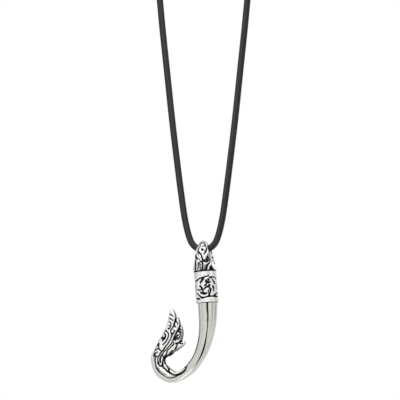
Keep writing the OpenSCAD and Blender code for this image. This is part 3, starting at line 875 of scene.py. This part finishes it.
# The collar is a turned profile: a row's radius times the angle's sine across, and less its cosine
# in depth. The radius depends on the angle too, by the carving, which repeats for each half turn.
def makeCollar():
    top, foot = pendant["collarTop"], pendant["collarFoot"]
    r, e, bore = collar["radius"], collar["chamfer"], collar["bore"]
    count = int((top - foot - 2 * e) / collar["step"])
    bend = np.linspace(0, np.pi / 2, collar["rimPoints"])
    lower = np.stack([foot + e - e * np.cos(bend), r - e + e * np.sin(bend)], -1)
    side = np.stack([np.linspace(foot + e, top - e, count), np.full(count, r)], -1)
    upper = np.stack([top - e + e * np.sin(bend), r - e + e * np.cos(bend)], -1)
    floor, roof, pole = foot + collar["boreFoot"], top - collar["boreTop"], pendant["pole"]
    rows = np.vstack([
        [[floor, pole], [floor, bore], [foot, bore]], lower, side[1:-1], upper,
        [[top, bore], [roof, bore], [roof, pole]],
    ])
    a = angles(collar["around"], 0.5)
    z, radius = (rows[:, k][:, None] + 0 * a for k in (0, 1))
    degrees = np.degrees(a) - pendant["viewTurn"]
    degrees = (degrees + 90) % 180 - 90
    u = np.radians(degrees) * r + 0 * z
    period = math.pi * r
    strokes = unrolled(collar["strokes"], lambda h: r)
    copies = [[[p + k * period, q, w] for p, q, w in s] for s in strokes for k in (-1, 0, 1)]
    edge = strokeEdge(u, z, copies, collar["broad"])
    lines = strokeEdge(u, z, unrolled(collar["bandLines"], lambda h: r))
    cut, black = carved(edge, carving)
    outside = radius > (bore + r) / 2
    lineCut = ease((collar["lineWall"] / 2 - lines) / collar["lineWall"])
    radius = radius - outside * (cut * carving["depth"] + lineCut * collar["lineDepth"])
    high, fade, strength = collar["footSeam"]
    seam = ease((foot + high - z) / fade) * strength + ease((z - top) / collar["topSeam"] + 1)
    black = np.where(outside, np.maximum(black, np.maximum(lineCut * collar["lineBlack"], seam)), 1.0)
    grid = hang(radius * np.sin(a), -radius * np.cos(a), z)
    piece = meshPiece("scroll_collar", [shell(grid, black)])
    finishPiece(piece, steel("cast collar steel", collar["look"]), "pendant", "collar")


hook = {
    "rings": 420,
    "around": 132,
    "squareness": 2.5,  # of a cross section: 2 is an ellipse
    "tenon": 8.0,
    "tenonInside": 1.0,
    "face": (0.3, 0.25),  # share of the half depth where a face begins, and the painted shade line's fade
    "grooveEdge": (0.12, 0.2),  # how far a groove's wall reaches outwards, and the wall's width
    "grooveBlack": 0.08,  # depth from which a groove is black
    "ridgeHighlight": (0.2, 0.5),  # height from which a ridge gets its painted highlight, and how bright
    "line": (0.02, 0.15, 0.9),  # the painted shade line's least width, the width of its edge, its strength
    "mapTurn": 13.0,  # length of the map from one side of the shank to the other
    "mapStep": 0.2,
    # Across and down in percent of the hook, half width and half depth in percent of the shank,
    # the groove's place in percent of the half width towards the outside, its width and depth, and
    # the width of the painted shade line along the inner edge, in millimetres
    "rows": [
        [-0.5, 0, 50, 50, 12, 0.95, 0.45, 0], [1.3, 22, 45, 49, 21, 0.6, 0.4, 0.2],
        [4.8, 39, 39, 46.5, 25, 0.42, 0.4, 0.5], [10.7, 54.5, 34.2, 44, 34, 0.75, 0.36, 0.95],
        [17.4, 65.5, 30.6, 41.5, 43, 0.66, 0.3, 0.95], [25, 74.5, 27.8, 39.5, 50, 0.36, 0.14, 0.8],
        [31, 79.9, 26.9, 38.5, 52.6, 0.12, 0, 0.73], [38, 85, 26, 37.5, 56, 0.5, -0.3, 0.6],
        [53, 92.2, 23, 35.5, 70, 0.5, -0.3, 0], [65, 94.7, 21, 34, 90, -0.2, 0, 0],
        [75, 94, 19, 32.5, 0, -0.2, 0, 0], [85.8, 89, 17, 30.5, 0, -0.2, 0, 0],
        [93, 81.2, 14.5, 28, 0, -0.2, 0, 0], [96.2, 71.8, 12, 23.5, 0, -0.2, 0, 0],
        [96.7, 63.8, 9, 18, 0, -0.2, 0, 0], [94.5, 57.4, 3.5, 8, 0, -0.2, 0, 0],
        [91.8, 53.8, 1, 2.5, 0, -0.2, 0, 0],
    ],
    "strokeDepth": 0.2,
    "look": {
        "brush": 5.0,  # fine lengthwise lines, to the millimetre
        # A darker copy of the bail's steel, as painted shade: the polished shank is the same steel,
        # reflecting darker surroundings
        "colour": (0.62, 0.605, 0.575, 1.0),
        # the colour of painted highlight along the ridge of the bend
        "highlightColour": (0.95, 0.94, 0.92, 1.0),
        "tarnishAndShade": (0.5, 0.49, 0.455, 1.0),
        "black": (0.012, 0.012, 0.012, 1.0),
        "roughness": 0.2,
        "cloudScale": 120.0,
        "grainScale": 1100.0,
        "bump": 0.05,
    },
}


# A place on the hook from its percent across and down, in the pendant's frame.
def onHook(across, down):
    return -across * pendant["hookWidth"] / 100, pendant["collarFoot"] - down * pendant["hookHeight"] / 100


# The head's strokes as places in the pendant's frame; they run on over the bend of the shank.
def onHookStrokes():
    return [
        [[*onHook(across, down), width] for across, down, width in stroke]
        for stroke in head["strokes"]
    ]


# Unit vectors along a flat line of x and z and to its outer side.
def headings(x, z):
    dx, dz = np.gradient(x), np.gradient(z)
    size = np.maximum(np.hypot(dx, dz), 1e-9)
    return dx / size, dz / size


# The shank is a row of rounded sections along a curve: a point is the curve's place plus its share
# of the half width to the side, and its share of the half depth along Y, where the shares are a
# power of the angle's cosine and sine. A groove along each face takes its depth off that.
def makeShank():
    rows = through(hook["rows"], hook["rings"])
    x, z = onHook(rows[:, 0], rows[:, 1])
    dx, dz = headings(x, z)
    dx[0], dz[0] = 0.0, -1.0
    wide = rows[:, 2] * pendant["shankWidth"] / 100
    deep = rows[:, 3] * pendant["shankDepth"] / 100
    p, q = roundedShares(angles(hook["around"]), hook["squareness"])
    sideways = p[None, :] * wide[:, None]
    px, pz = x[:, None] - dz[:, None] * sideways, z[:, None] + dx[:, None] * sideways
    depth = np.abs(q)[None, :] * deep[:, None]
    off = np.abs(sideways - (rows[:, 4] / 100 * wide)[:, None])
    grooveWidth, grooveDepth, edgeShadeWidth = (rows[:, k][:, None] for k in (5, 6, 7))
    face, faceFade = hook["face"]
    groove = ease((grooveWidth / 2 + hook["grooveEdge"][0] - off) / hook["grooveEdge"][1])
    groove = groove * (np.abs(q) > face)
    least, edgeShadeFade, lineBlack = hook["line"]
    # A painted shade line along the inner edge, where the shank's flank turns away
    line = ease((edgeShadeWidth - np.abs(sideways + wide[:, None])) / edgeShadeFade + 0.5)
    line = line * (edgeShadeWidth > least) * ease((np.abs(q) - face) / faceFade)
    skew = math.tan(math.radians(pendant["viewTurn"]))
    edge = strokeEdge(px - depth * skew, pz, onHookStrokes(), head["broad"])
    cut, black = carved(edge, carving)
    depth = depth - np.minimum(groove * grooveDepth + cut * hook["strokeDepth"], depth / 2)
    pz = pz - pendant["seatGap"] * (rows[:, 1] == 0)[:, None]
    grid = hang(px, np.sign(q)[None, :] * depth, pz)
    grooveShade = groove * ease(grooveDepth / hook["grooveBlack"])
    black = np.maximum(np.maximum(grooveShade, line * lineBlack), black)
    # Under zero the metal gets a painted highlight, as along the ridge that carries the groove on round
    # the bend
    black = black - groove * ease(-grooveDepth / hook["ridgeHighlight"][0]) * hook["ridgeHighlight"][1]
    foot = pendant["collarFoot"]
    pin = tenon(foot - hook["tenonInside"], foot + hook["tenon"])
    piece = meshPiece("polished_shank", [shell(grid, black), pin])
    mapAlong(piece.data, hook["around"], hook["mapTurn"], hook["mapStep"])
    finishPiece(piece, steel("polished shank steel in painted shade", hook["look"]), "pendant", "hook_shank")


head = {
    "broad": 1.3,
    "spacing": 0.1,  # millimetres between points
    "fine": 200,  # places on a leaf's smooth line before it is resampled
    "fullness": 2.588,  # a section's way around, as a share of its half width and half depth together
    "squareness": 2.15,
    "rimShadeWidth": 0.8,  # share of a leaf's depth over which its rims get painted shade
    "rimShadeRight": 1.0,
    "rimShadeLeft": 0.5,
    "rimShadeFade": 0.45,
    "softRimShade": {"inner leaf": 0.6, "barb": 0.6, "third feather": 0.6},  # share of the rims' painted shade
    "darkening": {"third feather": 0.3, "barb": 0.2, "stem": 0.08},  # painted shade over a whole leaf
    # Leaves: across and down in percent of the hook, half width and half depth in percent of the shank
    "leaves": {
        "stem": [
            [60, 91, 3, 28], [69, 89.3, 9, 36], [76, 86, 15, 40], [80, 81.5, 22, 41], [84, 76.5, 27, 42],
            [85.5, 68, 29, 43.5], [81.5, 59.5, 41, 44.5], [73, 52.5, 52, 43], [66, 43, 47, 39],
            [61, 34, 44, 32], [59, 27, 34, 24], [58, 22, 16, 11],
        ],
        "first feather": [
            [70, 39, 25, 31], [64.1, 28.7, 23.6, 30.5], [61, 19, 21, 26.5], [59.5, 14, 20.5, 22.5],
            [59.6, 10.7, 17.2, 19.5], [60, 7.5, 12.8, 15.5], [60.5, 5.6, 8.6, 11], [61, 4.4, 4, 6],
            [61.1, 3.9, 1, 3],
        ],
        "second feather": [
            [62.3, 41, 23, 35], [55.6, 31, 20.5, 33], [52.2, 23.5, 16.5, 26.5], [51.2, 17.8, 8.2, 15],
            [51.1, 16, 4, 8], [51.1, 15.2, 1, 4],
        ],
        "third feather": [
            [65, 56, 22, 39], [57.5, 48.5, 26, 39.5], [51.4, 41, 22.5, 37.5], [48.6, 33.5, 17, 30.5],
            [47.2, 29.2, 10.5, 18], [46.6, 27.2, 6, 11], [46.4, 26.3, 2, 4],
        ],
        "barb": [
            [70, 57.5, 24, 41], [58, 53.5, 23, 36.5], [49.5, 51, 18, 29], [43.8, 49.8, 11, 19],
            [41.2, 49.3, 5.5, 10], [40.4, 49.2, 2, 5],
        ],
        "outer leaf": [
            [58.9, 92.2, 1.5, 22], [67.5, 91, 8.5, 40], [76.2, 88, 13.5, 43], [84, 82.5, 16, 44.5],
            [89.3, 74, 15, 43], [90.4, 66, 11.5, 36], [88.7, 60, 3, 17],
        ],
        "inner leaf": [
            [42.9, 80, 1.2, 17], [48.7, 84.4, 7, 35], [55, 88, 9, 40], [61.6, 88.6, 9.5, 41.5],
            [67.5, 85.7, 10, 41.5], [73, 81.5, 9.5, 40], [78.5, 76, 8, 37], [82, 70, 5, 28],
        ],
    },
    # Carved strokes: across and down in percent of the hook, width in millimetres
    "strokes": [
        [[63.5, 11, 0.6], [61, 13, 0.55], [59, 14.5, 0.45]],
        [[64.5, 16.5, 0.65], [62, 18, 0.55], [59.5, 20, 0.45]],
        [[66, 21, 0.55], [64, 22.5, 0.5], [63.5, 25, 0.45], [64.5, 28, 0.45], [68, 30, 0.8]],
        [[67, 26, 0.5], [64.5, 26.5, 0.4]],
        [[53, 16, 0.6], [54.5, 18, 0.5], [55, 20.5, 0.65], [57, 23, 0.5], [58, 26.5, 0.65],
         [60.5, 28.5, 0.5], [62.5, 30.5, 0.45], [64.5, 32, 0.55], [64.5, 34, 0.5], [64, 36.5, 0.55],
         [62.5, 37, 0.85]],
        [[55, 20.5, 0.75], [53, 23, 0.5], [52, 25, 0.5]],
        [[58, 26.5, 0.75], [56, 28.5, 0.45], [56, 29.5, 0.35]],
        [[60, 32.5, 0.45], [58, 33, 0.5], [59, 35, 0.5], [60.5, 36.5, 0.55], [62.5, 37, 0.85],
         [63.5, 39.5, 0.65], [65, 42.5, 0.55], [67.5, 45.5, 0.55], [71, 49.5, 0.5], [75.5, 53, 0.6],
         [79, 57, 0.7], [82, 59, 0.55], [84, 60.5, 0.6], [86.5, 63.5, 0.6], [88.5, 66, 0.5],
         [89.5, 69.5, 0.5], [89, 73, 0.8]],
        [[47.5, 27, 0.65], [49, 29, 0.55], [50, 30.5, 0.65], [52, 33, 0.65], [54.5, 35, 0.65],
         [56.5, 37.5, 0.55], [59, 40.5, 0.65], [60, 43, 0.7], [62.5, 46, 0.5], [64, 48.5, 0.5],
         [67.5, 51.5, 0.5], [71.5, 54.5, 0.5], [75, 57.5, 0.5], [79, 60, 0.45], [82, 63, 0.6],
         [84.5, 66, 0.7], [85.5, 69, 0.8], [85.5, 72, 0.7], [85, 73.5, 0.4]],
        [[50, 30.5, 0.65], [47.5, 32.5, 0.55], [46.5, 33, 0.3]],
        [[52.5, 34, 0.65], [49.5, 36, 0.6], [48, 38, 0.5]],
        [[57.5, 40.5, 0.5], [57.2, 43, 0.95], [58.5, 45.5, 0.75]],
        [[55.5, 38.5, 0.4], [55, 41, 0.5], [53.5, 43.5, 0.4]],
        [[54.5, 44.5, 0.7], [51.5, 43, 0.5], [50, 41, 0.6]],
        [[50.5, 33, 0.4], [48.5, 34.5, 0.35], [47, 36.5, 0.3]],
        [[52, 40, 0.3], [50, 38.5, 0.35], [48, 40, 0.35], [46.5, 42, 0.3]],
        [[49.5, 44.5, 0.35], [47.5, 43.5, 0.3], [45.5, 43.5, 0.25]],
        [[53, 38, 0.4], [53.5, 40, 0.5]],
        [[47.5, 46.5, 0.65], [49.5, 48, 0.75], [52.5, 49.5, 0.65], [55.5, 50, 0.75], [58, 50, 0.55]],
        [[46.5, 50.5, 0.65], [49, 50.5, 0.55], [52, 49.5, 0.55]],
        [[73.5, 32, 0.6], [70.5, 34, 0.6], [69, 36, 0.55], [69, 39, 0.5], [70, 41.5, 0.55],
         [72.5, 45, 0.55], [76, 48, 0.55], [79.5, 50, 0.5]],
        [[75.5, 35.5, 0.55], [74, 37.5, 0.65], [74.5, 40, 0.75], [76.5, 42, 1.0], [79.5, 41, 1.0]],
        [[78, 43, 1.0], [79.5, 45, 0.45]],
        [[61, 48, 0.4], [61.5, 50.5, 0.6], [65, 53.5, 0.45], [69, 56, 0.45], [72.5, 58.5, 0.5],
         [74, 62, 0.55], [76, 65, 0.8], [78.5, 67, 0.8], [80, 69.5, 0.6], [81.5, 72.5, 0.6],
         [82, 75.5, 0.8], [83, 77.5, 0.7]],
        [[76, 65, 0.7], [73, 65, 0.6], [71, 64, 0.6], [70, 62.5, 0.35]],
        [[80.5, 61.5, 0.35], [80.5, 65, 0.45], [79, 67, 0.7]],
        [[55.5, 50.5, 0.6], [56, 53, 0.6], [57.5, 55, 0.7], [59, 57.5, 0.7]],
        [[53.5, 56.5, 0.35], [55.5, 58, 0.45], [57.5, 59, 0.35]],
        [[61, 59, 0.45], [63.5, 59, 0.6], [66, 60, 0.6], [68, 62, 0.7]],
        [[86.5, 48.5, 0.9], [90, 51, 0.6], [91.5, 51.5, 0.35]],
        [[86.5, 49, 0.6], [86.5, 52, 0.5], [87, 54.5, 0.6], [90, 55, 0.5], [93, 56, 0.6]],
        [[87, 54.5, 0.6], [85, 56.5, 0.6], [83, 58, 0.45]],
        [[89.5, 59, 0.45], [92.5, 60, 0.6], [94.5, 62.5, 0.8], [92, 64.5, 0.6], [90, 64.5, 0.5]],
        [[91.5, 64.5, 0.5], [93, 66.5, 0.5], [94, 69.5, 0.55], [93.5, 73, 0.5], [93, 76.5, 0.5],
         [92.5, 79.5, 0.5], [90, 83, 0.45], [86, 87, 0.42], [82.5, 89.5, 0.4], [77.5, 92.5, 0.4],
         [71.5, 94, 0.45], [66, 93.5, 0.5], [62, 93, 0.5], [59.5, 92, 0.5]],
        [[89, 73, 0.9], [88, 75.5, 0.6], [86, 77.5, 0.65], [83, 77.5, 0.75], [80.5, 80.5, 0.65],
         [77.5, 82.5, 0.5], [74.5, 84.5, 0.5], [72, 86, 0.6], [68, 88, 0.5], [64.5, 90, 0.5],
         [59.5, 91, 0.8], [54.5, 90, 0.85], [49.5, 88, 0.9], [45.5, 85.5, 0.75], [43, 82.5, 0.6],
         [43, 80, 0.7]],
        [[90, 79.5, 0.5], [88.5, 82, 0.35], [85, 85, 0.3], [81.5, 87.5, 0.3], [77, 89.5, 0.25]],
        [[71.5, 67, 0.7], [75, 68.5, 0.7], [77, 70.5, 0.8], [77, 72.5, 0.7], [76, 75, 0.35],
         [75, 78, 0.45], [73.5, 80.5, 0.45], [72, 82, 0.8], [72, 84.5, 0.7]],
    ],
    "pieces": {
        "carved_feathers": ["first feather", "second feather", "third feather"],
        "carved_barb": ["stem", "barb"],
        "calyx_leaves": ["outer leaf", "inner leaf"],
    },
    "cavityGrid": 0.12,  # millimetres between places of the height map that finds the creases
    "cavityBlur": 0.32,
    "cavityMargin": 2,  # millimetres of the map round the head
    "crease": (0.02, 0.22, 0.9),  # depth below the blurred map where black begins, its fade, its strength
    "deepestCut": 0.6,  # share of the half depth
    # A lighter copy of the bail's steel, as painted highlight on the head's facets
    "look": dict(bail["look"], roughness=0.3, colour=(0.94, 0.935, 0.925, 1.0)),
}


# A leaf's points in the pendant's frame, before carving: rings of rounded sections along its curve,
# each point the curve's place plus its shares of the half width and the half depth, as on the shank.
def leafGrid(table):
    rows = through(table, head["fine"])
    x, z = onHook(rows[:, 0], rows[:, 1])
    length = np.append(0, np.cumsum(np.hypot(np.diff(x), np.diff(z))))
    rings = int(length[-1] / head["spacing"]) + 2
    even = np.linspace(0, length[-1], rings)
    x, z, wide, deep = (np.interp(even, length, c) for c in (x, z, rows[:, 2], rows[:, 3]))
    dx, dz = headings(x, z)
    wide, deep = wide * pendant["shankWidth"] / 100, deep * pendant["shankDepth"] / 100
    around = int(head["fullness"] * (wide.max() + deep.max()) / head["spacing"]) // 2 * 2
    p, q = roundedShares(angles(around, 0.5), head["squareness"])
    sideways = p * wide[:, None]
    # Painted shade along a leaf's rims, where its sides turn from the light, stronger on the right
    rim = ease((head["rimShadeWidth"] - np.abs(q)) / head["rimShadeFade"])
    rim = rim * np.where(p < 0, head["rimShadeRight"], head["rimShadeLeft"])
    return (
        x[:, None] - dz[:, None] * sideways, q * deep[:, None], z[:, None] + dx[:, None] * sideways,
        rim + 0 * sideways,
    )


# A soft copy of a map: each place takes the mean of those round it, weighted by a bell curve.
def blurred(field, size):
    reach = np.arange(-int(3 * size), int(3 * size) + 1)
    bell = np.exp(-(reach / size) ** 2 / 2)
    bell /= bell.sum()
    for axis in (0, 1):
        field = sum(w * np.roll(field, k, axis) for k, w in zip(reach, bell))
    return field


# The head is seven leaves that overlap. The carving is cut straight in from the photographed side,
# and what lies lower than its surroundings in a map of the tallest surface is blackened.
def makeHead():
    leaves = {name: leafGrid(table) for name, table in head["leaves"].items()}
    strokes = onHookStrokes()
    skew = math.tan(math.radians(pendant["viewTurn"]))
    done = {}
    for name, (x, y, z, rim) in leaves.items():
        cut, black = carved(strokeEdge(x - np.abs(y) * skew, z, strokes, head["broad"]), carving)
        depth = np.minimum(cut * carving["depth"], np.abs(y) * head["deepestCut"])
        # Painted shade over a whole leaf, and along its rims
        darkening = head["darkening"].get(name, 0.0)
        rim = rim * head["softRimShade"].get(name, 1.0)
        done[name] = (x, y - np.sign(y) * depth, z, np.maximum(np.maximum(black, rim), darkening))
    step, margin = head["cavityGrid"], head["cavityMargin"]
    allX, allY, allZ = (np.concatenate([d[k].ravel() for d in done.values()]) for k in (0, 1, 2))
    lowX, lowZ = allX.min() - margin, allZ.min() - margin

    def cell(x, z):
        return ((x - lowX) / step).astype(int), ((z - lowZ) / step).astype(int)

    height = np.zeros([int(c) for c in cell(allX.max() + margin, allZ.max() + margin)])
    np.maximum.at(height, cell(allX, allZ), np.abs(allY))
    for k in (0, 1):
        height = np.maximum(height, np.minimum(np.roll(height, 1, k), np.roll(height, -1, k)))
    around = blurred(height, head["cavityBlur"] / step)
    least, fade, strength = head["crease"]
    shells = {}
    for name, (x, y, z, black) in done.items():
        crease = ease((around[cell(x, z)] - np.abs(y) - least) / fade) * strength
        shells[name] = shell(hang(x, y, z), np.maximum(black, crease))
    material = steel("cast head steel with painted highlight", head["look"])
    for title, names in head["pieces"].items():
        piece = meshPiece(title, [shells[name] for name in names])
        finishPiece(piece, material, "pendant", "barb_head")


makeBail()
makeCollar()
makeShank()
makeHead()

claspSteel = steel("clasp steel", dict(bail["look"], **clasp["look"]))
finishPiece(claspPiece, claspSteel, "necklace", "clasp")


addFloor()
addWorld()
for lightName, (lightPlace, lightSize, lightPower) in studio["lights"].items():
    addLight(lightName, lightPlace, lightSize, lightPower)
print("studio set")
